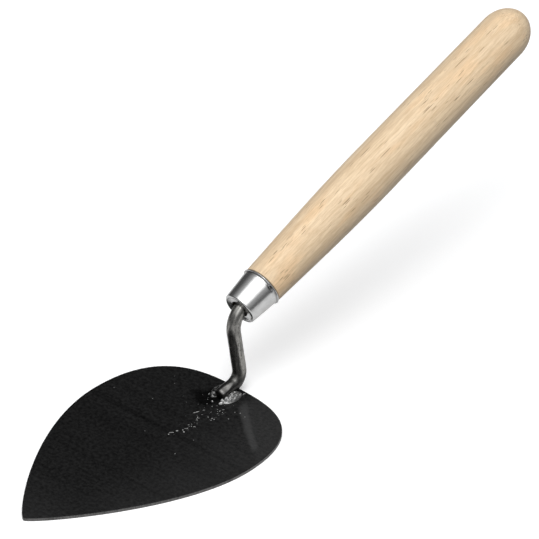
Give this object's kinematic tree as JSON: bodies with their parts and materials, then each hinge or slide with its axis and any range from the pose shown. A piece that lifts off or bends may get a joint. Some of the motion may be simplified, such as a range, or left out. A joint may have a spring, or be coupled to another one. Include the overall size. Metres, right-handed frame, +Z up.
{
  "type": "brick trowel",
  "caption": "Rigid hand trowel: flat heart-shaped steel blade, cranked round-bar tang welded to it, metal ferrule and turned wooden handle.",
  "frame": {"origin": "on the blade's flat underside, on the centre line, below the middle of the tang's welded foot", "axes": "+Z up from the blade's flat working face, the blade's tip towards -Y, the handle rising towards +Y, symmetric about the plane x = 0"},
  "size_m": [0.127, 0.4271, 0.1513],
  "materials": {
    "blade_steel": "black mill scale with a fine speckle, bare grey sheared edge",
    "tang_steel": "dark satin hot-rolled bar",
    "weld_metal": "rippled silver weld bead",
    "ferrule_steel": "bright polished drawn steel",
    "handle_wood": "pale straight-grained hardwood with short dark pores, smooth, no visible lacquer"
  },
  "bodies": {
    "root": {"blade": "blade_steel", "tang": "tang_steel", "weld_right": "weld_metal", "weld_left": "weld_metal", "ferrule": "ferrule_steel", "handle": "handle_wood"}
  },
  "joints": []
}
